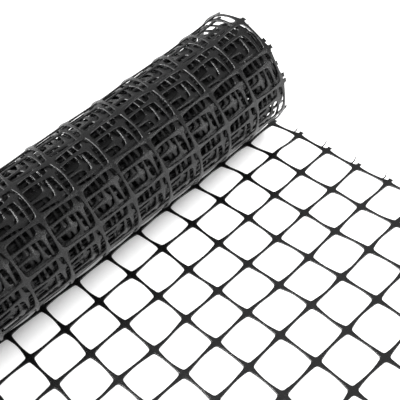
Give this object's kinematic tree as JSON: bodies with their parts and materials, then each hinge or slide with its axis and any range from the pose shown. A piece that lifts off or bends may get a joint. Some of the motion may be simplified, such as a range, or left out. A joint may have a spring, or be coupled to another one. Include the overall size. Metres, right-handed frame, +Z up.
{
  "type": "roll of plastic poultry netting",
  "caption": "Wound roll of black square-mesh plastic poultry netting lying on its side, its loose end drawn out flat in front.",
  "frame": {"origin": "middle of the whole object's footprint, on the surface that it lies on", "axes": "+Z up, Y along the roll's axis with the far selvedge at +Y, +X the way the loose end runs"},
  "size_m": [0.2822, 0.6402, 0.0827],
  "materials": {
    "netting": "black moulded polyethylene, semi-matt with a soft sheen"
  },
  "bodies": {
    "root": {"roll": "netting", "loose_net": "netting"}
  },
  "joints": []
}
